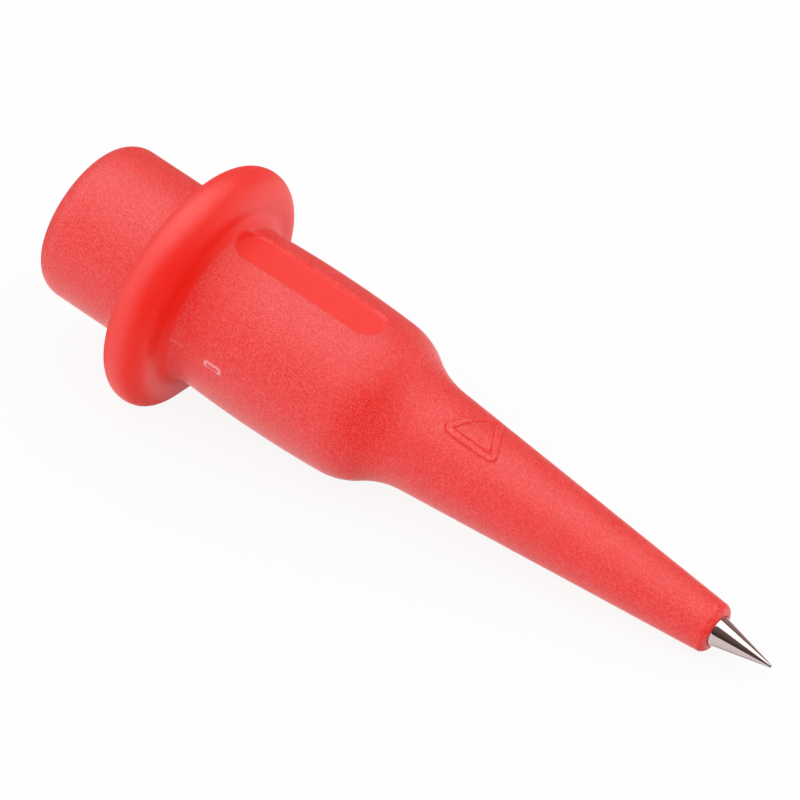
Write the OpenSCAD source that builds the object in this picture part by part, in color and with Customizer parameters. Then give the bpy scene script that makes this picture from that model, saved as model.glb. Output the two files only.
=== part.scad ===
// Push-on test probe: a one-piece moulded handle with a finger guard and a slim tapered nose,
// a socket for a shrouded plug in its rear sleeve, and a conical steel needle at the tip.
// Millimetres. +X runs along the axis from the mouth of the socket to the tip of the needle,
// +Z is up through the recessed panel, and the origin is the centre of the mouth.

/* [Sleeve] */
// Outer diameter of the rear sleeve
sleeve_d = 12; // [11.4:0.1:14]
// Length of the sleeve from its mouth to the finger guard
sleeve_l = 8.65; // [6:0.05:12]
// Rounding of the sleeve's outer edge at the mouth
mouth_round = 1.85; // [0.2:0.05:2]

/* [Finger guard] */
// Outer diameter of the finger guard
guard_d = 19; // [17.5:0.1:24]
// Thickness of the guard, whose rim is fully rounded
guard_t = 3.4; // [2.6:0.1:4]
// Fillet between the sleeve and the guard
guard_rear_fillet = 0.6; // [0.2:0.05:0.8]
// Fillet between the guard and the grip
guard_front_fillet = 1.15; // [0.4:0.05:1.3]
// Height of the axis above the flat that stops the probe from rolling
flat_h = 7.8; // [7.3:0.05:8.6]

/* [Grip] */
// Largest diameter of the barrelled grip
grip_d = 12.44; // [12.2:0.02:13.4]
// Distance from the guard's front face to the grip's widest place
grip_crest = 6.9; // [5:0.1:9]
// Radius of the grip's barrelled side
barrel_r = 95; // [70:1:200]
// Distance from the guard's front face to the start of the shoulder
shoulder_start = 13.1; // [12.4:0.1:16]
// Radius of the round of the shoulder
shoulder_r = 5.3; // [3.5:0.1:7]
// Radius of the hollow that follows the shoulder
hollow_r = 6.5; // [4:0.1:9]

/* [Nose] */
// Length of the moulded handle from the mouth to the nose
handle_l = 55.25; // [52:0.05:66]
// Diameter of the straight taper where it meets the nose plane
nose_d = 3.65; // [3.4:0.05:4.6]
// Angle between the taper and the axis, in degrees
taper_angle = 5.1; // [4.4:0.1:5.8]
// Rounding of the nose
nose_round = 0.55; // [0.1:0.05:0.65]

/* [Recessed panel] */
// Distance from the guard's front face to the rear end of the panel
panel_start = 0.3; // [0.2:0.05:1.5]
// Length of the panel
panel_l = 12.65; // [8:0.05:13]
// Width of the panel
panel_w = 3.15; // [2:0.05:4]
// Depth of the panel's flat floor under the widest place of the grip
panel_depth = 0.5; // [0.4:0.05:0.8]

/* [Plug receptacle] */
// Bore of the sleeve that takes the shroud of the plug
shroud_bore_d = 8.2; // [7.8:0.1:8.6]
// Depth of the round gap that takes the shroud
shroud_depth = 20.6; // [18:0.1:21]
// Thickness of the core's collar that closes the gap
collar_t = 1.4; // [1:0.1:2]
// Outer diameter of the insulating pillar
pillar_d = 6.1; // [6:0.05:6.3]
// Distance from the mouth back to the pillar's end
pillar_recess = 1.2; // [0.6:0.1:2]
// Thickness of the lip that keeps a finger off the metal
lip_t = 1.4; // [0.8:0.1:1.8]
// Opening of that lip
lip_d = 4.4; // [4.2:0.05:4.6]

/* [Core] */
// Diameter of the core where it is pressed into the handle
core_seat_d = 6.9; // [6.8:0.05:7.2]
// Length of that pressed part
core_seat_l = 6; // [5:0.1:6.4]
// Height of the snap ridge on it
snap_h = 0.3; // [0.15:0.05:0.4]
// Length of the snap ridge
snap_l = 1.2; // [0.8:0.1:1.6]

/* [Socket contact] */
// Bore that takes the pin of the plug
socket_d = 4; // [3.9:0.05:4.1]
// Depth of that bore
socket_l = 19; // [16:0.1:19]
// Wall of the contact tube
tube_wall = 0.5; // [0.4:0.05:0.55]
// Diameter of the contact's barbed collar
barb_d = 6; // [5.6:0.05:6.2]
// Length of the barbed collar
barb_l = 4; // [3:0.1:4.4]
// Number of barbs on the collar
barb_count = 3; // [2:1:5]
// Depth of the barbs
barb_depth = 0.22; // [0.1:0.02:0.3]
// Diameter of the shank that holds the needle
shank_d = 4.3; // [3.6:0.05:4.4]
// Length of that shank
shank_l = 6; // [4:0.1:8]
// Depth of the two crimp grooves round the shank
crimp_depth = 0.25; // [0.1:0.05:0.4]
// Width of each crimp groove
crimp_w = 1; // [0.6:0.1:1.4]

/* [Needle] */
// Diameter of the needle
needle_d = 2.24; // [1.8:0.02:2.3]
// Length of the needle outside the nose
needle_out = 4.5; // [3:0.1:6]
// Length of the needle held inside the shank
needle_held = 7.8; // [5:0.1:8]
// Radius of the needle's point
needle_point = 0.1; // [0.04:0.01:0.2]

/* [Fits] */
// Clearance between the moulded and turned pieces, on the radius
fit = 0.05; // [0.03:0.01:0.08]
// Clearance between the needle and the hole in the nose, on the radius
nose_gap = 0.08; // [0.04:0.01:0.12]
// Clearance between the needle and the hole in the shank, on the radius
press_gap = 0.01; // [0.01:0.01:0.03]

/* [Hidden] */
$fn = 96;

// Angle of the cone that a drill leaves at the bottom of a hole, from the axis
drill_half_angle = 59;
// Number of straight steps that stand for a small round and for a long one
small_steps = 8;
long_steps = 16;
// How far a cutting tool reaches past the surface that it cuts
over = 1;
// Flat width that a rounded edge leaves on the end face of a wall
land = 0.05;

// Places along the axis
guard_rear_x = sleeve_l;
guard_front_x = sleeve_l + guard_t;
crest_x = guard_front_x + grip_crest;
shoulder_x = guard_front_x + shoulder_start;
core_step_x = shroud_depth + collar_t;
core_end_x = core_step_x + core_seat_l;
snap_x = core_step_x + core_seat_l / 2;
tube_x = pillar_recess + lip_t;
socket_end_x = tube_x + socket_l;
barb_x = core_end_x - barb_l;
shank_end_x = core_end_x + shank_l;
needle_x = shank_end_x - needle_held;
tip_x = handle_l + needle_out;

// Radii
sleeve_r = sleeve_d / 2;
guard_r = guard_d / 2;
rim_r = guard_t / 2;
shroud_bore_r = shroud_bore_d / 2;
pillar_r = pillar_d / 2;
core_seat_r = core_seat_d / 2;
tube_r = socket_d / 2 + tube_wall;
barb_r = barb_d / 2;
shank_r = shank_d / 2;
needle_r = needle_d / 2;
nose_hole_r = needle_r + nose_gap;
mouth_edge_r = min(mouth_round, sleeve_r - shroud_bore_r - land);
nose_edge_r = min(nose_round, nose_d / 2 - nose_hole_r - land);

// A point at the given distance from a centre, with the angle taken from the radial direction
// towards the tip. Outline points are [place along the axis, distance from the axis].
function polar(centre, r, angle) = centre + r * [sin(angle), cos(angle)];
function arc(centre, r, from, to, steps) =
    [for (i = [0:steps]) polar(centre, r, from + (to - from) * i / steps)];

// Centre of the barrelled side, and its angles at the guard's fillet and at the shoulder
barrel_c = [crest_x, grip_d / 2 - barrel_r];
fillet_x = guard_front_x + guard_front_fillet;
fillet_angle = asin((fillet_x - crest_x) / (barrel_r + guard_front_fillet));
fillet_c = polar(barrel_c, barrel_r + guard_front_fillet, fillet_angle);
shoulder_angle = asin((shoulder_x - crest_x) / barrel_r);

// The shoulder's round rolls inside the barrelled side. The hollow's centre lies one hollow
// radius outside the taper, and touches the shoulder's round.
shoulder_c = polar(barrel_c, barrel_r - shoulder_r, shoulder_angle);
taper_out = [sin(taper_angle), cos(taper_angle)];
taper_along = [cos(taper_angle), -sin(taper_angle)];
shoulder_over_taper = (shoulder_c - [handle_l, nose_d / 2]) * taper_out;
hollow_rise = hollow_r - shoulder_over_taper;
blend_r = shoulder_r + hollow_r;
hollow_c = shoulder_c + hollow_rise * taper_out
    + sqrt(pow(blend_r, 2) - pow(hollow_rise, 2)) * taper_along;
blend_angle = atan2(hollow_c[0] - shoulder_c[0], hollow_c[1] - shoulder_c[1]);

// Centre of the rounding that ends the taper at the nose plane
nose_c = [
    handle_l - nose_edge_r,
    nose_d / 2 + nose_edge_r * tan(taper_angle) - nose_edge_r / cos(taper_angle)
];

// Outer outline of the handle from the mouth to the nose
function handle_outside() = concat(
    arc([mouth_edge_r, sleeve_r - mouth_edge_r], mouth_edge_r, -90, 0, small_steps),
    arc([guard_rear_x - guard_rear_fillet, sleeve_r + guard_rear_fillet],
        guard_rear_fillet, 180, 90, small_steps),
    arc([guard_rear_x + rim_r, guard_r - rim_r], rim_r, -90, 90, 2 * long_steps),
    arc(fillet_c, guard_front_fillet, -90, fillet_angle - 180, small_steps),
    arc(barrel_c, barrel_r, fillet_angle, shoulder_angle, long_steps),
    arc(shoulder_c, shoulder_r, shoulder_angle, blend_angle, long_steps),
    arc(hollow_c, hollow_r, blend_angle + 180, taper_angle + 180, long_steps),
    arc(nose_c, nose_edge_r, taper_angle, 90, small_steps)
);

// Stepped bore of the handle from the nose back to the mouth, with the groove for the snap ridge
function handle_inside() = [
    [handle_l, nose_hole_r],
    [shank_end_x + fit, nose_hole_r],
    [shank_end_x + fit, shank_r + fit],
    [core_end_x, shank_r + fit],
    [core_end_x, core_seat_r + fit],
    [snap_x + snap_l / 2 + fit, core_seat_r + fit],
    [snap_x, core_seat_r + snap_h + fit],
    [snap_x - snap_l / 2 - fit, core_seat_r + snap_h + fit],
    [snap_x - snap_l / 2 - fit, core_seat_r + fit],
    [core_step_x, core_seat_r + fit],
    [core_step_x, shroud_bore_r],
    [0, shroud_bore_r]
];

// Outline points turned round the axis, which lies along X
module turned(points) {
    rotate([0, 90, 0])
        rotate_extrude()
            polygon([for (p = points) [p[1], p[0]]]);
}

// A slot outline with round ends, along X from its rear end
module slot_2d(length, width) {
    translate([width / 2, 0]) circle(d = width);
    translate([length - width / 2, 0]) circle(d = width);
    translate([width / 2, -width / 2]) square([length - width, width]);
}

module handle() {
    color([0.92, 0.16, 0.16])
        difference() {
            turned(concat(handle_outside(), handle_inside()));
            anti_roll_cut();
            panel_cut();
        }
}

// What the flat takes off the underside of the finger guard
module anti_roll_cut() {
    translate([guard_rear_x - over, -guard_r, -flat_h - guard_r])
        cube([guard_t + 2 * over, guard_d, guard_r]);
}

// Pocket with a flat floor on top of the grip
module panel_cut() {
    translate([guard_front_x + panel_start, 0, grip_d / 2 - panel_depth])
        linear_extrude(height = guard_r)
            slot_2d(panel_l, panel_w);
}

module socket_core() {
    color([0.12, 0.12, 0.13])
        turned([
            [pillar_recess, lip_d / 2],
            [pillar_recess, pillar_r - lip_t / 4],
            [pillar_recess + lip_t / 4, pillar_r],
            [shroud_depth, pillar_r],
            [shroud_depth, shroud_bore_r - fit],
            [core_step_x, shroud_bore_r - fit],
            [core_step_x, core_seat_r],
            [snap_x - snap_l / 2, core_seat_r],
            [snap_x - snap_l / 2, core_seat_r + snap_h],
            [snap_x, core_seat_r + snap_h],
            [snap_x + snap_l / 2, core_seat_r],
            [core_end_x, core_seat_r],
            [core_end_x, barb_r + fit],
            [barb_x, barb_r + fit],
            [barb_x, tube_r + fit],
            [tube_x, tube_r + fit],
            [tube_x, lip_d / 2]
        ]);
}

// One saw-tooth barb for each step of the collar, rising towards the tip
function barbs() = [
    for (i = [0:barb_count - 1])
        for (p = [[0, barb_r - barb_depth], [1, barb_r]])
            [barb_x + barb_l * (i + p[0]) / barb_count, p[1]]
];

// Crimp grooves, each a shallow step round the shank
function crimps() = [
    for (i = [1:2])
        for (p = [[-1, 0], [-1, crimp_depth], [1, crimp_depth], [1, 0]])
            [core_end_x + shank_l * i / 3 + p[0] * crimp_w / 2, shank_r - p[1]]
];

module socket_contact() {
    color([0.83, 0.80, 0.72])
        turned(concat(
            [[tube_x, tube_r], [barb_x, tube_r]],
            barbs(),
            [[core_end_x, shank_r]],
            crimps(),
            [
                [shank_end_x, shank_r],
                [shank_end_x, needle_r + press_gap],
                [needle_x, needle_r + press_gap],
                [needle_x, 0],
                [socket_end_x + socket_d / 2 / tan(drill_half_angle), 0],
                [socket_end_x, socket_d / 2],
                [tube_x, socket_d / 2]
            ]
        ));
}

module needle() {
    half_angle = atan((needle_r - needle_point) / (needle_out - needle_point));
    color([0.78, 0.78, 0.80])
        turned(concat(
            [[needle_x, 0], [needle_x, needle_r], [handle_l, needle_r]],
            arc([tip_x - needle_point, 0], needle_point, half_angle, 90, small_steps)
        ));
}

handle();
socket_core();
socket_contact();
needle();
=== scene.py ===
"""Studio scene of a push-on test probe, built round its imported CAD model.

The probe is a red one-piece handle with a finger guard and a slim taper, a black insulating core
with a turned socket contact inside its rear sleeve, and a polished needle at its tip. Sizes are in
millimetres, in the frame of the CAD model: +X runs from the mouth of the socket to the tip, +Z is
up through the recessed panel, and the origin is the centre of the mouth. An angle round the axis
is measured in degrees from +Z towards +Y.
"""

from __future__ import annotations

import logging
import math
from dataclasses import dataclass, field
from enum import Enum

import bmesh
import bpy
import numpy as np
from mathutils import Matrix, Vector

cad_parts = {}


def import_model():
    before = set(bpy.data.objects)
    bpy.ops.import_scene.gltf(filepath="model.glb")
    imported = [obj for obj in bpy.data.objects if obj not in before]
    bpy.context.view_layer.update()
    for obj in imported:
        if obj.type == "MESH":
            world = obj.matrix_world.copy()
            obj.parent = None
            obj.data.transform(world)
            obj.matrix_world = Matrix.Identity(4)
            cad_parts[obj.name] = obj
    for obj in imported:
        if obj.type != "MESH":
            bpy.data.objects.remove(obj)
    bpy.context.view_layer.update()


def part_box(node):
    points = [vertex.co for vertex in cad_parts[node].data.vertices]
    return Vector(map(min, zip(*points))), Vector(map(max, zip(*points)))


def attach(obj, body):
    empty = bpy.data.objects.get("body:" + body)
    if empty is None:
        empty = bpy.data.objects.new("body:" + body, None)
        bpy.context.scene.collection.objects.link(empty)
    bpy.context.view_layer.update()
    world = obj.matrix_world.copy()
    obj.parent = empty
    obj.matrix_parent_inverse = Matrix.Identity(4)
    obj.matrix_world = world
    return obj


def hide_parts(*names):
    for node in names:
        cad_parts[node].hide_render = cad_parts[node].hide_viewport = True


LOG = logging.getLogger("test_probe")
BODY = "root"
MM = 0.001

# Sockets of Blender's Mix node that take and give colours. Their names are shared by other
# types of value, so they are reached by number.
MIX_SHARE = 0
MIX_FIRST = 6
MIX_SECOND = 7
MIX_RESULT = 2


class Slot(Enum):
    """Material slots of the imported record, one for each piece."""

    HANDLE = "handle_moulding"
    CORE = "core_moulding"
    CONTACT = "contact_metal"
    NEEDLE = "needle_metal"


def linear(hex_code: str) -> tuple[float, float, float, float]:
    """Turns a colour written as sRGB hex into the linear colour that a shader takes.

    Args:
        hex_code: Six hex digits, with or without a leading hash.

    Returns:
        Red, green, blue and a full alpha.
    """
    digits = hex_code.lstrip("#")
    parts = [int(digits[i : i + 2], 16) / 255 for i in (0, 2, 4)]
    curve = [p / 12.92 if p <= 0.04045 else ((p + 0.055) / 1.055) ** 2.4 for p in parts]
    return (*curve, 1.0)


def add_node(
    tree: bpy.types.NodeTree, kind: str, inputs: dict | None = None, **settings
) -> bpy.types.Node:
    """Adds a node, sets its properties and fills its inputs.

    Args:
        tree: Node tree that gets the node.
        kind: Blender's name of the node type, without its prefix "ShaderNode".
        inputs: For each input, by name or number, a value or the output socket to link from.
        **settings: Properties of the node itself.

    Returns:
        The new node.
    """
    node = tree.nodes.new("ShaderNode" + kind)
    for name, value in settings.items():
        setattr(node, name, value)
    for key, value in (inputs or {}).items():
        if isinstance(value, bpy.types.NodeSocket):
            tree.links.new(value, node.inputs[key])
        else:
            node.inputs[key].default_value = value
    return node


def seen_share(tree: bpy.types.NodeTree) -> bpy.types.NodeSocket:
    """A value of 1 for rays that see or mirror a surface and 0 for rays that gather light.

    Args:
        tree: Node tree that gets the nodes.

    Returns:
        The socket with the value.
    """
    ray = add_node(tree, "LightPath").outputs
    share = ray["Is Camera Ray"]
    for kind in ("Is Glossy Ray", "Is Transmission Ray"):
        share = add_node(tree, "Math", {0: share, 1: ray[kind]}, operation="MAXIMUM").outputs[0]
    return share


def new_material(name: str) -> tuple[bpy.types.Material, bpy.types.NodeTree]:
    """Makes an empty node material.

    Args:
        name: Name of the material.

    Returns:
        The material and its node tree, without nodes.
    """
    material = bpy.data.materials.new(name)
    material.use_nodes = True
    material.node_tree.nodes.clear()
    return material, material.node_tree


def smooth(value: np.ndarray) -> np.ndarray:
    """Rises smoothly from 0 to 1 while the value goes from 0 to 1."""
    t = np.clip(value, 0.0, 1.0)
    return t * t * (3.0 - 2.0 * t)


def arc(centre: np.ndarray, radius: float, start: float, end: float, step: float) -> np.ndarray:
    """Points on an arc of an outline, without its end point.

    Args:
        centre: Place along the axis and distance from it.
        radius: Radius of the arc.
        start: First angle, in degrees from the radial direction towards the tip.
        end: Last angle.
        step: Largest distance between points.

    Returns:
        One row per point, with its place along the axis and its distance from it.
    """
    count = max(2, math.ceil(abs(math.radians(end - start)) * radius / step))
    angles = np.radians(np.linspace(start, end, count + 1)[:-1])
    return np.asarray(centre) + radius * np.column_stack((np.sin(angles), np.cos(angles)))


def line(corners: list, step: float) -> np.ndarray:
    """Points on straight stretches from corner to corner, without the last corner.

    Args:
        corners: Place along the axis and distance from it of each corner.
        step: Largest distance between points.

    Returns:
        One row per point.
    """
    rows = []
    for start, end in zip(corners, corners[1:]):
        first, last = np.asarray(start, float), np.asarray(end, float)
        count = max(1, math.ceil(np.linalg.norm(last - first) / step))
        rows.append(first + (last - first) * (np.arange(count) / count)[:, None])
    return np.concatenate(rows)


def on_arc(centre: np.ndarray, radius: float, angle: float) -> np.ndarray:
    """The point of an arc at an angle given as in arc()."""
    turn = math.radians(angle)
    return np.asarray(centre) + radius * np.array((math.sin(turn), math.cos(turn)))


def segment_distance(x: np.ndarray, v: np.ndarray, a: tuple, b: tuple) -> np.ndarray:
    """Distance of points from a straight segment.

    Args:
        x: First coordinates of the points.
        v: Second coordinates of the points.
        a: One end of the segment.
        b: The other end.

    Returns:
        The distances.
    """
    along = np.array((b[0] - a[0], b[1] - a[1]))
    share = ((x - a[0]) * along[0] + (v - a[1]) * along[1]) / (along @ along)
    share = np.clip(share, 0.0, 1.0)
    return np.hypot(x - a[0] - share * along[0], v - a[1] - share * along[1])


def add_object(name: str, data: bpy.types.ID) -> bpy.types.Object:
    """Makes an object from its mesh, camera or lamp data and links it to the scene."""
    made = bpy.data.objects.new(name, data)
    bpy.context.scene.collection.objects.link(made)
    return made


def grid_object(name: str, points: np.ndarray, sharp_angle: float) -> bpy.types.Object:
    """Makes a closed mesh from rings of points round the axis.

    Args:
        name: Name of the object and its mesh.
        points: Rings, columns and coordinates, in millimetres. The last ring joins the first.
        sharp_angle: Edges that bend by more than this many degrees stay sharp.

    Returns:
        The new object, linked to the scene.
    """
    rings, columns, _ = points.shape
    ring, column = np.meshgrid(np.arange(rings), np.arange(columns), indexing="ij")
    after, beside = (ring + 1) % rings, (column + 1) % columns
    corners = ((ring, column), (after, column), (after, beside), (ring, beside))
    faces = np.stack([r * columns + c for r, c in corners], axis=-1).reshape(-1, 4)
    mesh = bpy.data.meshes.new(name)
    mesh.from_pydata((points.reshape(-1, 3) * MM).tolist(), [], faces.tolist())
    mesh.validate()
    piece = add_object(name, mesh)
    mesh.shade_smooth()
    mesh.set_sharp_from_angle(angle=math.radians(sharp_angle))
    return piece


def revolved(
    name: str, outline: np.ndarray, columns: int, sharp_angle: float = 40.0
) -> bpy.types.Object:
    """Turns a closed outline round the axis.

    Args:
        name: Name of the new object.
        outline: Place along the axis and distance from it, one row per point, end not repeated.
        columns: Number of points round the axis.
        sharp_angle: Edges that bend by more than this many degrees stay sharp.

    Returns:
        The new object, with points on the axis merged and faces turned outwards.
    """
    angles = np.linspace(0.0, 2.0 * math.pi, columns, endpoint=False)
    x = np.repeat(outline[:, :1], columns, axis=1)
    radius = outline[:, 1:2]
    points = np.stack((x, radius * np.sin(angles), radius * np.cos(angles)), axis=-1)
    piece = grid_object(name, points, sharp_angle)
    same_place = 0.0001 * MM
    solid = bmesh.new()
    solid.from_mesh(piece.data)
    bmesh.ops.remove_doubles(solid, verts=solid.verts, dist=same_place)
    bmesh.ops.recalc_face_normals(solid, faces=solid.faces)
    solid.to_mesh(piece.data)
    solid.free()
    return piece


@dataclass(frozen=True)
class SparkErodedPolyamide:
    """Red polyamide, injection moulded in a tool with a spark-eroded texture.

    The tool's fine pits give the skin a satin sparkle. On the guard and the panel, where the tool
    was blasted instead, the sparkle is weak and the sheen spreads wider. The pigment scatters
    light just below the skin, which makes the red full and even. The real pits are finer than a
    pixel, so they are drawn coarser, and part of their glitter is painted into the tint: the skin
    between the pits is painted lighter and pinker as a painted highlight, and the pits darker as
    painted shade.
    """

    name: str = "polyamide_moulded_spark_eroded"
    # The grain mixes the next two colours: darker pits as painted shade, lighter and pinker skin
    # between them as a painted highlight.
    pit_shade_colour: str = "#F00000"
    skin_glint_colour: str = "#FF564F"
    blasted_colour: str = "#F81800"
    # Pale pink painted over the gate's mark and the seam as a highlight.
    mark_highlight_colour: str = "#FFC4CC"
    ior: float = 1.6
    specular_level: float = 0.6
    satin_roughness: float = 0.3
    blasted_roughness: float = 0.54
    grain_mm: float = 0.13
    grain_height_mm: float = 0.1
    grain_detail: float = 2.0
    grain_contrast: float = 0.6
    shaded_pit_below: float = 0.43
    glinting_skin_above: float = 0.63
    blasted_grain: float = 0.15
    scatter_mm: float = 0.02

    def build(self) -> bpy.types.Material:
        """Makes the material.

        It reads two mesh attributes: "blast" says how blasted the tool was at a place, and the
        other how far a place is painted pale pink, as a highlight on the gate's mark and seam.
        """
        material, tree = new_material(self.name)
        place = add_node(tree, "TexCoord").outputs["Object"]
        blast = add_node(tree, "Attribute", attribute_name="blast").outputs["Fac"]
        mark_highlight = add_node(tree, "Attribute", attribute_name="mark_highlight").outputs["Fac"]
        grain = add_node(tree, "TexNoise", {
            "Vector": place,
            "Scale": 1.0 / (self.grain_mm * MM),
            "Detail": self.grain_detail,
            "Roughness": self.grain_contrast,
        })
        roughness = add_node(tree, "MapRange", {
            "Value": blast, "To Min": self.satin_roughness, "To Max": self.blasted_roughness,
        })
        strength = add_node(tree, "MapRange", {
            "Value": blast, "To Min": 1.0, "To Max": self.blasted_grain,
        })
        # Share of the painted highlight at each place, none in the pits, which keep the painted
        # shade.
        skin = add_node(tree, "MapRange", {
            "Value": grain.outputs["Fac"],
            "From Min": self.shaded_pit_below,
            "From Max": self.glinting_skin_above,
        })
        bump = add_node(tree, "Bump", {
            "Strength": strength.outputs["Result"],
            "Distance": self.grain_height_mm * MM,
            "Height": grain.outputs["Fac"],
        })
        # The tint holds the grain's painted shade and highlight, then the blasted red, then the pale
        # painted highlight of the gate's mark.
        tint = linear(self.pit_shade_colour)
        for share, colour in (
            (skin.outputs["Result"], self.skin_glint_colour),
            (blast, self.blasted_colour),
            (mark_highlight, self.mark_highlight_colour),
        ):
            mix = add_node(tree, "Mix", {
                MIX_SHARE: share, MIX_FIRST: tint, MIX_SECOND: linear(colour),
            }, data_type="RGBA")
            tint = mix.outputs[MIX_RESULT]
        shader = add_node(tree, "BsdfPrincipled", {
            "Base Color": tint,
            "Roughness": roughness.outputs["Result"],
            "IOR": self.ior,
            "Specular IOR Level": self.specular_level,
            "Subsurface Weight": 1.0,
            "Subsurface Radius": (1.0, 1.0, 1.0),
            "Subsurface Scale": self.scatter_mm * MM,
            "Normal": bump.outputs["Normal"],
        })
        add_node(tree, "OutputMaterial", {"Surface": shader.outputs["BSDF"]})
        return material


@dataclass(frozen=True)
class BlackPolyamide:
    """Black polyamide, injection moulded in a plain machined tool.

    The tool's milling leaves a dull skin with a soft, slightly uneven sheen.
    """

    name: str = "polyamide_moulded_black"
    colour: str = "#26262A"
    ior: float = 1.53
    roughness: float = 0.42
    grain_mm: float = 0.2
    grain_height_mm: float = 0.006
    grain_detail: float = 3.0

    def build(self) -> bpy.types.Material:
        """Makes the material."""
        material, tree = new_material(self.name)
        place = add_node(tree, "TexCoord").outputs["Object"]
        grain = add_node(tree, "TexNoise", {
            "Vector": place, "Scale": 1.0 / (self.grain_mm * MM), "Detail": self.grain_detail,
        })
        bump = add_node(tree, "Bump", {
            "Strength": 1.0, "Distance": self.grain_height_mm * MM, "Height": grain.outputs["Fac"],
        })
        shader = add_node(tree, "BsdfPrincipled", {
            "Base Color": linear(self.colour),
            "Roughness": self.roughness,
            "IOR": self.ior,
            "Normal": bump.outputs["Normal"],
        })
        add_node(tree, "OutputMaterial", {"Surface": shader.outputs["BSDF"]})
        return material


@dataclass(frozen=True)
class TurnedMetal:
    """Metal turned or ground on a lathe.

    The tool leaves fine rings round the axis, which fray the edges of the mirrored bands, and
    handling makes the polish a little uneven. The real rings are finer than a pixel, so they are
    drawn coarser.
    """

    name: str
    colour: str
    roughness: float
    ring_mm: float
    ring_height_mm: float
    ring_detail: float = 2.0
    ring_contrast: float = 0.7
    wear_mm: float = 0.7
    wear_detail: float = 2.0
    wear_share: float = 0.2

    def build(self) -> bpy.types.Material:
        """Makes the material, whose rings lie square to the X axis."""
        material, tree = new_material(self.name)
        place = add_node(tree, "TexCoord").outputs["Object"]
        along = add_node(tree, "SeparateXYZ", {"Vector": place}).outputs["X"]
        rings = add_node(tree, "TexNoise", {
            "W": along,
            "Scale": 1.0 / (self.ring_mm * MM),
            "Detail": self.ring_detail,
            "Roughness": self.ring_contrast,
        }, noise_dimensions="1D")
        wear = add_node(tree, "TexNoise", {
            "Vector": place, "Scale": 1.0 / (self.wear_mm * MM), "Detail": self.wear_detail,
        })
        rough = add_node(tree, "MapRange", {
            "Value": wear.outputs["Fac"],
            "To Min": self.roughness * (1 - self.wear_share),
            "To Max": self.roughness * (1 + self.wear_share),
        })
        bump = add_node(tree, "Bump", {
            "Strength": 1.0, "Distance": self.ring_height_mm * MM, "Height": rings.outputs["Fac"],
        })
        shader = add_node(tree, "BsdfPrincipled", {
            "Base Color": linear(self.colour),
            "Metallic": 1.0,
            "Roughness": rough.outputs["Result"],
            "Normal": bump.outputs["Normal"],
        })
        add_node(tree, "OutputMaterial", {"Surface": shader.outputs["BSDF"]})
        return material


@dataclass(frozen=True)
class SweepPaper:
    """White paper sweep: shows as the plain white background and keeps a share of the shadow."""

    name: str = "paper_sweep_matt"
    colour: str = "#F2F2F2"
    background_share: float = 0.9

    def build(self) -> bpy.types.Material:
        """Makes the material, which a camera under the paper looks through."""
        material, tree = new_material(self.name)
        camera_ray = add_node(tree, "LightPath").outputs["Is Camera Ray"]
        below = add_node(tree, "NewGeometry").outputs["Backfacing"]
        paper = add_node(tree, "BsdfDiffuse", {"Color": linear(self.colour)})
        white = add_node(tree, "Emission", {"Strength": 1.0})
        clear = add_node(tree, "BsdfTransparent")
        share = add_node(tree, "Math", {
            0: seen_share(tree), 1: self.background_share,
        }, operation="MULTIPLY")
        front = add_node(tree, "MixShader", {
            0: share.outputs[0], 1: paper.outputs[0], 2: white.outputs[0],
        })
        through = add_node(tree, "Math", {0: below, 1: camera_ray}, operation="MULTIPLY")
        both = add_node(tree, "MixShader", {
            0: through.outputs[0], 1: front.outputs[0], 2: clear.outputs[0],
        })
        add_node(tree, "OutputMaterial", {"Surface": both.outputs[0]})
        return material


@dataclass(frozen=True)
class StudioFabric:
    """Fabric stretched over a studio panel.

    The softbox's white silk is lit from behind, bright enough to show as a sheen on satin plastic.
    A flag's dull cloth gives the polished needle its dark bands. A flag glows dimly in place of
    the light its cloth throws back, painted darker at the low edge and brighter at the high one,
    as painted falloff of the light on a real one.
    """

    name: str
    low: str
    high: str
    strength: float = 1.0

    def build(self) -> bpy.types.Material:
        """Makes the material."""
        material, tree = new_material(self.name)
        material.cycles.emission_sampling = "NONE"
        sheet = add_node(tree, "UVMap", uv_map="sheet").outputs["UV"]
        height = add_node(tree, "SeparateXYZ", {"Vector": sheet}).outputs["Y"]
        falloff_glow = add_node(tree, "Mix", {
            MIX_SHARE: height, MIX_FIRST: linear(self.low), MIX_SECOND: linear(self.high),
        }, data_type="RGBA").outputs[MIX_RESULT]
        cloth = add_node(tree, "Emission", {"Color": falloff_glow, "Strength": self.strength})
        add_node(tree, "OutputMaterial", {"Surface": cloth.outputs[0]})
        return material


@dataclass
class Piece:
    """A sub-assembly of the probe that rides on its body and stands for one CAD node."""

    name: str
    node: str
    slot: Slot
    finish: SparkErodedPolyamide | BlackPolyamide | TurnedMetal

    def dress(self, piece: bpy.types.Object) -> bpy.types.Object:
        """Gives the piece its finish and ties it to the frame.

        Args:
            piece: The finished mesh object.

        Returns:
            The same object.
        """
        piece.data.materials.append(self.finish.build())
        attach(piece, BODY)
        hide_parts(self.node)
        return piece


@dataclass(frozen=True)
class DenseZone:
    """A range of angles round the axis that needs closer columns."""

    centre: float
    half_width: float
    step: float


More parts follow.
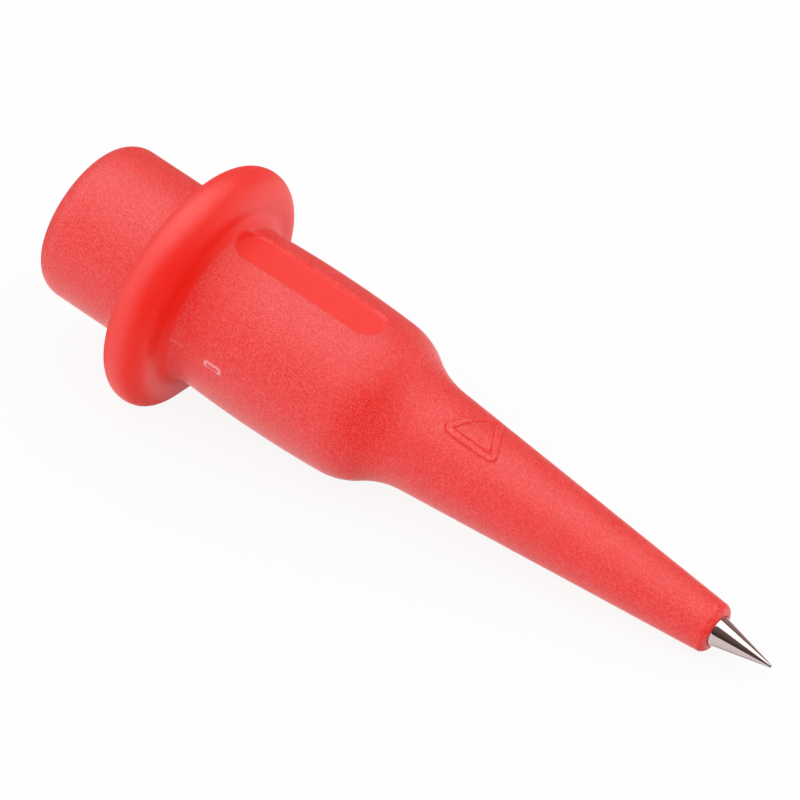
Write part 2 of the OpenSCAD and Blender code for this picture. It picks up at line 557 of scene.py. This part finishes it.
@dataclass
class HandleMoulding(Piece):
    """The red handle: rear sleeve, finger guard, barrelled grip, shoulder, taper and nose."""

    name: str = "handle_moulding"
    node: str = "handle"
    slot: Slot = Slot.HANDLE
    finish: SparkErodedPolyamide = SparkErodedPolyamide()

    # Turned outline, from the mouth to the nose, and the bores inside it.
    sleeve_d: float = 12.0
    sleeve_l: float = 8.65
    mouth_round: float = 1.85
    mouth_lead: float = 1.16
    guard_t: float = 3.4
    rear_fillet: float = 0.6
    front_fillet: float = 1.15
    satin_from: float = -55.0
    guard_blast: float = 0.75
    flat_edge: float = 0.3
    grip_d: float = 12.44
    grip_crest: float = 6.9
    barrel_r: float = 95.0
    shoulder_start: float = 13.1
    shoulder_r: float = 5.3
    hollow_r: float = 6.5
    nose_d: float = 3.65
    taper_angle: float = 5.1
    nose_round: float = 0.55
    shroud_bore_d: float = 8.2
    core_step_x: float = 22.0
    core_end_x: float = 28.0
    core_seat_r: float = 3.5
    shank_seat_r: float = 2.2
    shank_end_x: float = 34.05
    nose_hole_r: float = 1.14
    nose_hole_edge: float = 0.03

    # Recessed panel.
    panel_start: float = 0.3
    panel_l: float = 12.65
    panel_w: float = 3.15
    panel_depth: float = 0.5
    panel_wall: float = 0.2

    # Rounded triangle on the taper: its outline, its ridge and the groove on each side of it.
    rib_x: float = 34.45
    rib_side: float = 3.25
    rib_span: float = 3.1
    rib_corner: float = 0.25
    rib_w: float = 0.45
    rib_h: float = 0.08
    rib_edge: float = 0.1
    rib_groove_w: float = 0.15
    rib_groove_depth: float = 0.06
    rib_margin: float = 0.6
    skin_depth: float = 1.0
    rib_step: float = 0.05

    # Oval mark that the gate left on the grip, the seam in line with it, and how pale they are
    # painted: a painted highlight, strongest on the ring's upper side and at its ends.
    gate_x: float = 16.25
    gate_angle: float = -89.6
    gate_l: float = 1.3
    gate_w: float = 0.36
    gate_ridge_w: float = 0.16
    gate_ridge_h: float = 0.035
    seam_start: float = 12.65
    seam_end: float = 13.5
    gate_crown: float = 1.4
    lower_white: float = 0.2
    upper_white: float = 0.65
    rear_white: float = 0.85
    front_white: float = 0.765
    seam_height_share: float = 0.33
    seam_white: float = 0.25

    # Distances between points of the outline, angle between columns, and what stays sharp.
    fine_step: float = 0.09
    guard_step: float = 0.12
    nose_step: float = 0.08
    round_step: float = 0.2
    taper_step: float = 0.5
    wall_step: float = 2.0
    column_step: float = 3.0
    sharp_angle: float = 50.0

    # Read from the CAD box.
    handle_l: float = field(init=False)
    guard_r: float = field(init=False)
    flat_h: float = field(init=False)

    def build(self) -> bpy.types.Object:
        """Builds and dresses the handle."""
        low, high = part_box(self.node)
        self.handle_l, self.guard_r, self.flat_h = high.x / MM, high.z / MM, -low.z / MM
        rows, guard, blast = self.outline()
        angles = self.column_angles()
        points = self.swept(rows, guard, angles)
        blast = np.repeat(blast[:, None], len(angles), axis=1)
        points, blast = self.press_panel(points, blast)
        points, blast, mark_highlight = self.raise_marks(points, blast, angles)
        piece = grid_object(self.name, points[::-1], self.sharp_angle)
        for name, values in (("blast", blast), ("mark_highlight", mark_highlight)):
            attribute = piece.data.attributes.new(name, "FLOAT", "POINT")
            attribute.data.foreach_set("value", values[::-1].astype(np.float32).ravel())
        return self.dress(piece)

    def outline(self) -> tuple[np.ndarray, slice, np.ndarray]:
        """Works out the closed outline of the moulding.

        Returns:
            The outline's points, the rows of the guard, and how blasted each row is.
        """
        sleeve_r, bore_r = self.sleeve_d / 2, self.shroud_bore_d / 2
        front_x, rim_r = self.sleeve_l + self.guard_t, self.guard_t / 2
        crest_x = front_x + self.grip_crest
        barrel_c = np.array((crest_x, self.grip_d / 2 - self.barrel_r))
        reach = self.barrel_r + self.front_fillet
        fillet_angle = math.degrees(math.asin((front_x + self.front_fillet - crest_x) / reach))
        fillet_c = on_arc(barrel_c, reach, fillet_angle)
        shoulder_x = front_x + self.shoulder_start
        shoulder_angle = math.degrees(math.asin((shoulder_x - crest_x) / self.barrel_r))
        shoulder_c = on_arc(barrel_c, self.barrel_r - self.shoulder_r, shoulder_angle)
        taper = math.radians(self.taper_angle)
        taper_out = np.array((math.sin(taper), math.cos(taper)))
        taper_along = np.array((math.cos(taper), -math.sin(taper)))
        nose_r = self.nose_d / 2
        rise = self.hollow_r - (shoulder_c - np.array((self.handle_l, nose_r))) @ taper_out
        blend_r = self.shoulder_r + self.hollow_r
        hollow_c = shoulder_c + rise * taper_out + math.sqrt(blend_r**2 - rise**2) * taper_along
        toward = hollow_c - shoulder_c
        blend_angle = math.degrees(math.atan2(toward[0], toward[1]))
        drop = self.nose_round / math.cos(taper) - self.nose_round * math.tan(taper)
        nose_c = np.array((self.handle_l - self.nose_round, nose_r - drop))
        hollow_end = self.taper_angle + 180
        taper_start = on_arc(hollow_c, self.hollow_r, hollow_end)
        taper_end = on_arc(nose_c, self.nose_round, self.taper_angle)

        def on_taper(x: float) -> tuple[float, float]:
            """The point of the taper at a place along the axis."""
            return x, taper_start[1] - (x - taper_start[0]) * math.tan(taper)

        blasted = self.guard_blast
        mouth_r, fillet_r, hole_r = self.mouth_round, self.front_fillet, self.nose_hole_r
        sleeve_end = self.sleeve_l - self.rear_fillet
        rear_c = (sleeve_end, sleeve_r + self.rear_fillet)
        rim_c = (self.sleeve_l + rim_r, self.guard_r - rim_r)
        satin = self.satin_from - 90
        rib_half = self.rib_side / 2 + self.rib_margin
        rib_from, rib_to = on_taper(self.rib_x - rib_half), on_taper(self.rib_x + rib_half)
        hole_face = (self.handle_l, hole_r + self.nose_hole_edge)
        hole_wall = (self.handle_l - self.nose_hole_edge, hole_r)
        inside = [
            hole_wall,
            (self.shank_end_x, hole_r),
            (self.shank_end_x, self.shank_seat_r),
            (self.core_end_x, self.shank_seat_r),
            (self.core_end_x, self.core_seat_r),
            (self.core_step_x, self.core_seat_r),
            (self.core_step_x, bore_r),
            (self.mouth_lead, bore_r),
            (0.0, sleeve_r - mouth_r),
        ]
        stretches = (
            (arc((mouth_r, sleeve_r - mouth_r), mouth_r, -90, 0, self.round_step), 0),
            (line([(mouth_r, sleeve_r), (sleeve_end, sleeve_r)], self.wall_step), 0),
            (arc(rear_c, self.rear_fillet, 180, 90, self.fine_step), 0),
            (line([(self.sleeve_l, rear_c[1]), (self.sleeve_l, rim_c[1])], self.guard_step), blasted),
            (arc(rim_c, rim_r, -90, 90, self.guard_step), blasted),
            (line([(front_x, rim_c[1]), (front_x, fillet_c[1])], self.guard_step), blasted),
            (arc(fillet_c, fillet_r, -90, satin, self.fine_step), blasted),
            (arc(fillet_c, fillet_r, satin, fillet_angle - 180, self.fine_step), 0),
            (arc(barrel_c, self.barrel_r, fillet_angle, shoulder_angle, self.fine_step), 0),
            (arc(shoulder_c, self.shoulder_r, shoulder_angle, blend_angle, self.round_step), 0),
            (arc(hollow_c, self.hollow_r, blend_angle + 180, hollow_end, self.round_step), 0),
            (line([taper_start, rib_from], self.taper_step), 0),
            (line([rib_from, rib_to], self.rib_step), 0),
            (line([rib_to, taper_end], self.taper_step), 0),
            (arc(nose_c, self.nose_round, self.taper_angle, 90, self.nose_step), 0),
            (line([(self.handle_l, nose_c[1]), hole_face, hole_wall], self.nose_step), 0),
            (line(inside, self.wall_step), 0),
        )
        rows = np.concatenate([s for s, _ in stretches])
        blast = np.concatenate([np.full(len(s), float(p)) for s, p in stretches])
        starts = np.cumsum([0] + [len(s) for s, _ in stretches])
        guard_first, after_guard = 3, 6
        return rows, slice(int(starts[guard_first]), int(starts[after_guard])), blast

    def column_angles(self) -> np.ndarray:
        """Angles round the axis in degrees, closer together where the surface has detail."""
        zones = (
            DenseZone(centre=0.0, half_width=38.0, step=0.75),
            DenseZone(centre=self.gate_angle, half_width=4.5, step=0.5),
        )
        turn = 360.0
        angles = [-turn / 2]
        while angles[-1] < turn / 2:
            here = [z.step for z in zones if abs(angles[-1] - z.centre) <= z.half_width]
            angles.append(angles[-1] + min(here, default=self.column_step))
        scaled = -turn / 2 + (np.array(angles) + turn / 2) * turn / (angles[-1] + turn / 2)
        return scaled[:-1]

    def swept(self, rows: np.ndarray, guard: slice, angles: np.ndarray) -> np.ndarray:
        """Sweeps the outline round the axis, with the flat under the guard cut to rounded edges.

        Args:
            rows: The outline's points.
            guard: The rows that belong to the guard.
            angles: Angles of the columns in degrees.

        Returns:
            Rings, columns and coordinates.
        """
        turn = np.radians(angles)
        x = np.repeat(rows[:, :1], len(angles), axis=1)
        radius = np.repeat(rows[:, 1:], len(angles), axis=1)
        for column, cosine in enumerate(np.cos(turn)):
            if cosine < 0 and self.flat_h / -cosine < self.guard_r:
                cut = self.trimmed(rows[guard], self.flat_h / -cosine)
                x[guard, column], radius[guard, column] = cut[:, 0], cut[:, 1]
        return np.stack((x, radius * np.sin(turn), radius * np.cos(turn)), axis=-1)

    def trimmed(self, guard: np.ndarray, limit: float) -> np.ndarray:
        """Cuts the guard's outline off at a distance from the axis and softens the new corners.

        The softening is a running mean along the outline, which fades out at its two ends.

        Args:
            guard: The rows of the guard.
            limit: Largest distance from the axis.

        Returns:
            As many rows, at the same shares of the outline's length.
        """

        def lengths(points: np.ndarray) -> np.ndarray:
            """Distance of each point along the outline."""
            steps = np.hypot(*np.diff(points, axis=0).T)
            return np.concatenate(([0.0], np.cumsum(steps)))

        def resampled(points: np.ndarray, places: np.ndarray) -> np.ndarray:
            """Points at the given distances along the outline."""
            own = lengths(points)
            return np.column_stack([np.interp(places, own, points[:, i]) for i in (0, 1)])

        cut_samples, even_samples = 1200, 600
        full = lengths(guard)
        fine = resampled(guard, np.linspace(0, full[-1], cut_samples))
        fine[:, 1] = np.minimum(fine[:, 1], limit)
        own = lengths(fine)
        even = resampled(fine, np.linspace(0, own[-1], even_samples))
        reach = max(1, round(self.flat_edge / (own[-1] / even_samples)))
        padded = np.concatenate((np.repeat(even[:1], reach, 0), even, np.repeat(even[-1:], reach, 0)))
        weights = np.hanning(2 * reach + 3)[1:-1]
        weights /= weights.sum()
        soft = np.column_stack([np.convolve(padded[:, i], weights, "valid") for i in (0, 1)])
        order = np.arange(even_samples)
        ends = smooth(np.minimum(order, order[::-1]) / (2 * reach))[:, None]
        even = even * (1 - ends) + soft * ends
        return resampled(even, full / full[-1] * lengths(even)[-1])

    def press_panel(self, points: np.ndarray, blast: np.ndarray) -> tuple[np.ndarray, np.ndarray]:
        """Presses the recessed panel, a slot with a flat blasted floor, into the top of the grip.

        Args:
            points: Rings, columns and coordinates.
            blast: How blasted each point is.

        Returns:
            Both, changed.
        """
        x, y, z = (points[..., i] for i in range(3))
        floor_z = self.grip_d / 2 - self.panel_depth
        half = self.panel_w / 2
        rear = self.sleeve_l + self.guard_t + self.panel_start + half
        front = rear + self.panel_l - self.panel_w
        edge = segment_distance(x, y, (rear, 0.0), (front, 0.0)) - half
        pressed = smooth(-edge / self.panel_wall) * (z > floor_z)
        points[..., 2] = z + (floor_z - z) * pressed
        return points, np.maximum(blast, pressed)

    def raise_marks(
        self, points: np.ndarray, blast: np.ndarray, angles: np.ndarray
    ) -> tuple[np.ndarray, np.ndarray, np.ndarray]:
        """Raises the plain triangular rib on the taper and the gate's mark and seam on the grip.

        Args:
            points: Rings, columns and coordinates.
            blast: How blasted each point is.
            angles: Angles of the columns in degrees.

        Returns:
            Both, changed, and how whitened each point is.
        """
        x, radius = points[..., 0], np.hypot(points[..., 1], points[..., 2])
        turn = np.radians(angles)[None, :] + np.zeros_like(x)
        gate, white, seam = self.gate_marks(x, radius, turn)
        gate_lift = np.maximum(gate * (1 + white) / 2, self.seam_height_share * seam)
        lift = self.rib_lift(x, radius, turn) + self.gate_ridge_h * gate_lift
        points[..., 1:] *= (1 + lift / radius)[..., None]
        # The gate's ring is painted pale pink as a highlight, and the seam a little.
        gate_highlight = gate * white
        return points, np.maximum(blast, gate_highlight), np.maximum(gate_highlight, self.seam_white * seam)

    def rib_lift(self, x: np.ndarray, radius: np.ndarray, turn: np.ndarray) -> np.ndarray:
        """Works out how far the triangular rib and the grooves beside it lift each point.

        Args:
            x: Place of each point along the axis.
            radius: Its distance from the axis.
            turn: Its angle round the axis, in radians.

        Returns:
            The lift, below zero in the grooves.
        """
        slope = math.tan(math.radians(self.taper_angle))
        taper_r = self.nose_d / 2 + (self.handle_l - self.rib_x) * slope
        around = taper_r * turn
        half_side, half_height = self.rib_side / 2, self.rib_span / 2
        corners = (
            (self.rib_x - half_side, -half_height),
            (self.rib_x + half_side, -half_height),
            (self.rib_x, half_height),
        )
        away = np.full_like(x, np.inf)
        inside = np.ones_like(x, bool)
        for a, b in zip(corners, corners[1:] + corners[:1]):
            away = np.minimum(away, segment_distance(x, around, a, b))
            inside &= (b[0] - a[0]) * (around - a[1]) - (b[1] - a[1]) * (x - a[0]) > 0
        away = np.abs(away * np.where(inside, -1, 1) - self.rib_corner)
        ridge = smooth(((self.rib_w + self.rib_edge) / 2 - away) / self.rib_edge)
        groove = np.abs(away - (self.rib_w + self.rib_groove_w) / 2)
        groove = smooth(1 - groove / (self.rib_groove_w / 2))
        on_taper = np.abs(radius - taper_r) < self.skin_depth
        return (self.rib_h * ridge - self.rib_groove_depth * groove) * on_taper

    def gate_marks(
        self, x: np.ndarray, radius: np.ndarray, turn: np.ndarray
    ) -> tuple[np.ndarray, np.ndarray, np.ndarray]:
        """Works out the gate's oval ring and the short seam in line with it.

        Args:
            x: Place of each point along the axis.
            radius: Its distance from the axis.
            turn: Its angle round the axis, in radians.

        Returns:
            Share of the ring at each point, how pale it is painted there as a highlight, and share of
            the seam.
        """
        around = self.grip_d / 2 * (turn - math.radians(self.gate_angle))
        straight = (self.gate_l - self.gate_w) / 2
        rear_x, front_x = self.gate_x - straight, self.gate_x + straight
        ring = np.abs(segment_distance(x, around, (rear_x, 0.0), (front_x, 0.0)) - self.gate_w / 2)
        seam = segment_distance(x, around, (self.seam_start, 0.0), (self.seam_end, 0.0))
        on_grip = np.abs(radius - self.grip_d / 2) < self.skin_depth
        gate = smooth(self.gate_crown * (1 - ring / self.gate_ridge_w)) * on_grip
        seam = smooth(1 - seam / self.gate_ridge_w) * on_grip
        # The painted highlight is stronger on the ring's upper side and at the ring's two ends.
        upper = smooth(around / self.gate_w + 0.5)
        white = self.lower_white + (self.upper_white - self.lower_white) * upper
        rear_end = smooth((rear_x - x) / self.gate_w + 0.5)
        front_end = smooth((x - front_x) / self.gate_w + 0.5)
        ends = np.maximum(self.rear_white * rear_end, self.front_white * front_end)
        return gate, np.maximum(white, ends), seam


@dataclass
class SocketCore(Piece):
    """The black insulating pillar with its collar and snap ridge, pressed into the handle."""

    name: str = "socket_core_pillar"
    node: str = "socket_core"
    slot: Slot = Slot.CORE
    finish: BlackPolyamide = BlackPolyamide()
    lip_r: float = 2.2
    lip_t: float = 1.4
    pillar_r: float = 3.05
    mouth_edge: float = 0.35
    collar_x: float = 20.6
    collar_r: float = 4.05
    seat_x: float = 22.0
    seat_r: float = 3.45
    snap_h: float = 0.3
    snap_l: float = 1.2
    tube_r: float = 2.55
    barb_x: float = 24.0
    barb_r: float = 3.05
    lip_edge: float = 0.15
    edge_step: float = 0.05
    wall_step: float = 0.8
    columns: int = 128

    def build(self) -> bpy.types.Object:
        """Builds and dresses the core."""
        low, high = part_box(self.node)
        start, end = low.x / MM, high.x / MM
        snap_x, snap_r = (self.seat_x + end) / 2, self.seat_r + self.snap_h
        tube_x = start + self.lip_t
        edge, lip_edge, lip_top = self.mouth_edge, self.lip_edge, self.lip_r + self.lip_edge
        corners = [
            (start + edge, self.pillar_r),
            (self.collar_x, self.pillar_r),
            (self.collar_x, self.collar_r),
            (self.seat_x, self.collar_r),
            (self.seat_x, self.seat_r),
            (snap_x - self.snap_l / 2, self.seat_r),
            (snap_x - self.snap_l / 2, snap_r),
            (snap_x, snap_r),
            (snap_x + self.snap_l / 2, self.seat_r),
            (end, self.seat_r),
            (end, self.barb_r),
            (self.barb_x, self.barb_r),
            (self.barb_x, self.tube_r),
            (tube_x, self.tube_r),
            (tube_x, self.lip_r),
            (start + lip_edge, self.lip_r),
        ]
        outline = np.concatenate(
            (
                arc((start + lip_edge, lip_top), lip_edge, 180, 270, self.edge_step),
                line([(start, lip_top), (start, self.pillar_r - edge)], self.wall_step),
                arc((start + edge, self.pillar_r - edge), edge, -90, 0, self.edge_step),
                line(corners, self.wall_step),
            )
        )
        return self.dress(revolved(self.name, outline, self.columns))


@dataclass
class SocketContact(Piece):
    """The turned contact tube with its barbed collar and the crimped shank that holds the needle."""

    name: str = "socket_contact_tube"
    node: str = "socket_contact"
    slot: Slot = Slot.CONTACT
    finish: TurnedMetal = TurnedMetal(
        name="brass_turned_nickel_plated",
        colour="#CFC8BA",
        roughness=0.24,
        ring_mm=0.12,
        ring_height_mm=0.0015,
    )
    bore_r: float = 2.0
    bore_l: float = 19.0
    tube_r: float = 2.5
    mouth_chamfer: float = 0.2
    tube_edge: float = 0.1
    barb_x: float = 24.0
    barb_r: float = 3.0
    barb_count: int = 3
    barb_depth: float = 0.22
    collar_end_x: float = 28.0
    shank_r: float = 2.15
    crimp_count: int = 2
    crimp_depth: float = 0.25
    crimp_w: float = 1.0
    needle_x: float = 26.2
    needle_hole_r: float = 1.13
    drill_half_angle: float = 59.0
    wall_step: float = 0.8
    columns: int = 128
    sharp_angle: float = 25.0

    def build(self) -> bpy.types.Object:
        """Builds and dresses the contact."""
        low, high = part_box(self.node)
        start, end = low.x / MM, high.x / MM
        chamfer, edge = self.mouth_chamfer, self.tube_edge
        corners = [
            (start, self.bore_r + chamfer),
            (start, self.tube_r - edge),
            (start + edge, self.tube_r),
            (self.barb_x, self.tube_r),
        ]
        barb_l = (self.collar_end_x - self.barb_x) / self.barb_count
        for i in range(self.barb_count):
            x = self.barb_x + barb_l * i
            corners += [(x, self.barb_r - self.barb_depth), (x + barb_l, self.barb_r)]
        corners.append((self.collar_end_x, self.shank_r))
        crimp_r = self.shank_r - self.crimp_depth
        crimp_gap = (end - self.collar_end_x) / (self.crimp_count + 1)
        for i in range(self.crimp_count):
            x = self.collar_end_x + crimp_gap * (i + 1) - self.crimp_w / 2
            corners += [(x, self.shank_r), (x, crimp_r)]
            corners += [(x + self.crimp_w, crimp_r), (x + self.crimp_w, self.shank_r)]
        bore_end = start + self.bore_l
        drill_l = self.bore_r / math.tan(math.radians(self.drill_half_angle))
        corners += [
            (end, self.shank_r),
            (end, self.needle_hole_r),
            (self.needle_x, self.needle_hole_r),
            (self.needle_x, 0.0),
            (bore_end + drill_l, 0.0),
            (bore_end, self.bore_r),
            (start + chamfer, self.bore_r),
        ]
        outline = line(corners + corners[:1], self.wall_step)
        piece = revolved(self.name, outline, self.columns, self.sharp_angle)
        return self.dress(piece)


@dataclass
class Needle(Piece):
    """The polished needle: a cone that starts at the hole in the nose and ends in a fine point."""

    name: str = "needle_tip"
    node: str = "needle"
    slot: Slot = Slot.NEEDLE
    finish: TurnedMetal = TurnedMetal(
        name="steel_ground_and_polished",
        colour="#CEBDBC",
        roughness=0.1,
        ring_mm=0.16,
        ring_height_mm=0.002,
    )
    point_r: float = 0.12
    cone_x: float = 55.25
    shank_step: float = 2.0
    cone_step: float = 0.15
    point_step: float = 0.015
    columns: int = 160

    def build(self) -> bpy.types.Object:
        """Builds and dresses the needle."""
        low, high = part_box(self.node)
        start, tip, radius = low.x / MM, high.x / MM, high.z / MM
        centre = (tip - self.point_r, 0.0)
        half_angle = math.degrees(math.atan((radius - self.point_r) / (centre[0] - self.cone_x)))
        cone_end = on_arc(centre, self.point_r, half_angle)
        outline = np.concatenate(
            (
                line([(start, 0.0), (start, radius), (self.cone_x, radius)], self.shank_step),
                line([(self.cone_x, radius), cone_end], self.cone_step),
                arc(centre, self.point_r, half_angle, 90, self.point_step),
                np.array(((tip, 0.0),)),
            )
        )
        return self.dress(revolved(self.name, outline, self.columns))


@dataclass
class ProductCamera:
    """Long lens above the probe's side, placed by where the mouth and the axis lie in the picture.

    The mouth's centre is given by its column and row in the square picture, and the probe's axis
    by how far it dips and turns from the picture's plane and rolls, in degrees.
    """

    frame_px: int = 800
    sensor_mm: float = 36.0
    focal_px: float = 6426.0
    distance_mm: float = 450.0
    mouth_column: float = 85.17
    mouth_row: float = 210.47
    axis_dip: float = 19.61
    axis_turn: float = 33.57
    roll: float = 47.7
    near_m: float = 0.01
    far_m: float = 20.0

    def build(self) -> bpy.types.Object:
        """Makes the camera and sets it as the scene's."""
        centre = self.frame_px / 2
        sight = (self.mouth_column - centre, self.mouth_row - centre, self.focal_px)
        mouth = Vector(sight) * self.distance_mm / self.focal_px
        dip, turn, roll = (math.radians(a) for a in (self.axis_dip, self.axis_turn, self.roll))
        level_share = math.cos(dip)
        along = Vector((level_share * math.cos(turn), level_share * math.sin(turn), -math.sin(dip)))
        level = Vector((-math.sin(turn), math.cos(turn), 0.0))
        facing = Vector((0.0, 0.0, -1.0))
        facing = (facing - facing.dot(along) * along).normalized()
        up = math.cos(roll) * facing - math.sin(roll) * level
        across = up.cross(along)
        axes = (along, across, up)
        data = bpy.data.cameras.new("product_camera")
        data.sensor_width = self.sensor_mm
        data.lens = self.focal_px / self.frame_px * self.sensor_mm
        data.clip_start, data.clip_end = self.near_m, self.far_m
        camera = add_object("product_camera", data)
        camera.location = Vector([-mouth.dot(a) * MM for a in axes])
        turned = Matrix([(a.x, -a.y, -a.z) for a in axes])
        camera.rotation_mode = "QUATERNION"
        camera.rotation_quaternion = turned.to_quaternion()
        bpy.context.scene.camera = camera
        return camera


@dataclass(frozen=True)
class Panel:
    """A flat panel round the probe, placed along the camera's axes and turned to face the probe.

    Only reflections show it, so the panels give the probe its sheen and leave its shading even.
    """

    name: str
    fabric: StudioFabric
    right: float
    up: float
    back: float
    width: float
    height: float
    turn: float

    def build(self, camera: bpy.types.Object) -> None:
        """Args:
            camera: The camera whose axes place it.
        """
        axes = camera.rotation_quaternion.to_matrix()
        centre = axes @ Vector((self.right, self.up, self.back)) * MM
        out = centre.normalized()
        across = axes @ Vector((1.0, 0.0, 0.0))
        across = (across - across.dot(out) * out).normalized()
        rise = out.cross(across)
        spin = math.radians(self.turn)
        across, rise = (
            math.cos(spin) * across + math.sin(spin) * rise,
            math.cos(spin) * rise - math.sin(spin) * across,
        )
        sheet = ((0, 0), (1, 0), (1, 1), (0, 1))
        corners = [
            centre + MM * ((u - 0.5) * self.width * across + (v - 0.5) * self.height * rise)
            for u, v in sheet
        ]
        mesh = bpy.data.meshes.new(self.name)
        mesh.from_pydata(corners, [], [(0, 1, 2, 3)])
        for loop, uv in zip(mesh.uv_layers.new(name="sheet").data, sheet):
            loop.uv = uv
        panel = add_object(self.name, mesh)
        mesh.materials.append(self.fabric.build())
        panel.visible_camera = False
        panel.visible_diffuse = False
        panel.visible_shadow = False


@dataclass
class Studio:
    """White light tent: a sweep under the probe, a softbox above it and dull flags round it.

    The probe lies on the front edge of the guard's flat and on the grip's side near the shoulder,
    so the sweep slopes under it. Panels and lamp are placed along the camera's right, up and back.
    """

    paper: SweepPaper = SweepPaper()
    softbox: Panel = Panel(
        "softbox_front",
        StudioFabric("softbox_silk_lit", low="#FFFFFF", high="#FFFFFF", strength=2.22),
        right=-39, up=660, back=316, width=1266, height=1136, turn=-1.8,
    )
    front_flag: Panel = Panel(
        "flag_front",
        StudioFabric("flag_cloth_front", low="#201918", high="#98817C"),
        right=587, up=-295, back=1176, width=3977, height=3440, turn=-41.0,
    )
    back_flag: Panel = Panel(
        "flag_back",
        StudioFabric("flag_cloth_back", low="#655552", high="#BB9E99"),
        right=62, up=343, back=-347, width=4222, height=595, turn=-35.5,
    )
    side_flag: Panel = Panel(
        "flag_side",
        StudioFabric("flag_cloth_side", low="#858585", high="#C0C0C0"),
        right=194, up=-2278, back=75, width=2934, height=15902, turn=6.5,
    )
    # Front edge of the guard's flat, on which the probe lies.
    guard_front_x: float = 12.05
    flat_h: float = 7.8
    slope: float = 7.69
    sweep_radius: float = 900.0
    sweep_corners: int = 64
    ambient: float = 1.02
    fill_size: float = 420.0
    fill_distance: float = 600.0
    fill_share: float = 0.056
    fill_from: tuple[float, float, float] = (-0.12, 0.65, 0.75)

    def build(self, camera: bpy.types.Object) -> None:
        """Sets the view transform, the world, the sweep, the fill lamp and the panels.

        Args:
            camera: The camera that the panels are placed by.
        """
        bpy.context.scene.view_settings.view_transform = "Standard"
        self.build_world()
        self.build_sweep()
        self.build_fill(camera)
        for panel in (self.softbox, self.front_flag, self.back_flag, self.side_flag):
            panel.build(camera)

    def build_world(self) -> None:
        """White surroundings: plain white where they are seen or mirrored, fitted as light.

        Neither they nor the panels are aimed at as lamps, so a panel really hides what is
        behind it from the probe's sheen.
        """
        world = bpy.data.worlds.new("light_tent")
        bpy.context.scene.world = world
        world.cycles.sampling_method = "NONE"
        world.use_nodes = True
        tree = world.node_tree
        tree.nodes.clear()
        strength = add_node(tree, "MapRange", {
            "Value": seen_share(tree), "To Min": self.ambient, "To Max": 1.0,
        }).outputs["Result"]
        white = add_node(tree, "Background", {"Color": linear("#FFFFFF"), "Strength": strength})
        add_node(tree, "OutputWorld", {"Surface": white.outputs[0]})

    def build_sweep(self) -> None:
        """Lays the paper under the probe."""
        mesh = bpy.data.meshes.new("sweep")
        turns = np.linspace(0.0, 2.0 * math.pi, self.sweep_corners, endpoint=False)
        radius = self.sweep_radius * MM
        rim = [(radius * math.cos(t), radius * math.sin(t), 0.0) for t in turns]
        mesh.from_pydata(rim, [], [list(range(len(rim)))])
        sweep = add_object("sweep", mesh)
        sweep.location = (self.guard_front_x * MM, 0.0, -self.flat_h * MM)
        sweep.rotation_euler = (0.0, -math.radians(self.slope), 0.0)
        mesh.materials.append(self.paper.build())
        sweep.visible_glossy = False

    def build_fill(self, camera: bpy.types.Object) -> None:
        """Hangs the large lamp that lifts the probe's upper side a little.

        Args:
            camera: The camera whose axes place the lamp.
        """
        light = bpy.data.lights.new("fill_lamp", "AREA")
        light.shape = "SQUARE"
        light.size = self.fill_size * MM
        # The lamp lights a white surface that faces it to fill_share of the world's white.
        radiance = self.fill_share * math.pi * (self.fill_distance / self.fill_size) ** 2
        light.energy = radiance * math.pi * light.size**2
        lamp = add_object("fill_lamp", light)
        away = camera.rotation_quaternion @ Vector(self.fill_from).normalized()
        lamp.location = away * self.fill_distance * MM
        lamp.rotation_mode = "QUATERNION"
        lamp.rotation_quaternion = away.to_track_quat("Z", "Y")
        lamp.visible_camera = False
        lamp.visible_glossy = False


def main() -> None:
    """Loads the frame and builds the camera, the probe's pieces and the studio in order."""
    logging.basicConfig(level=logging.INFO, format="%(name)s: %(message)s")
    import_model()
    camera = ProductCamera().build()
    for maker in (HandleMoulding(), SocketCore(), SocketContact(), Needle()):
        piece = maker.build()
        LOG.info("%s: %d faces", piece.name, len(piece.data.polygons))
    Studio().build(camera)


if __name__ == "__main__":
    main()
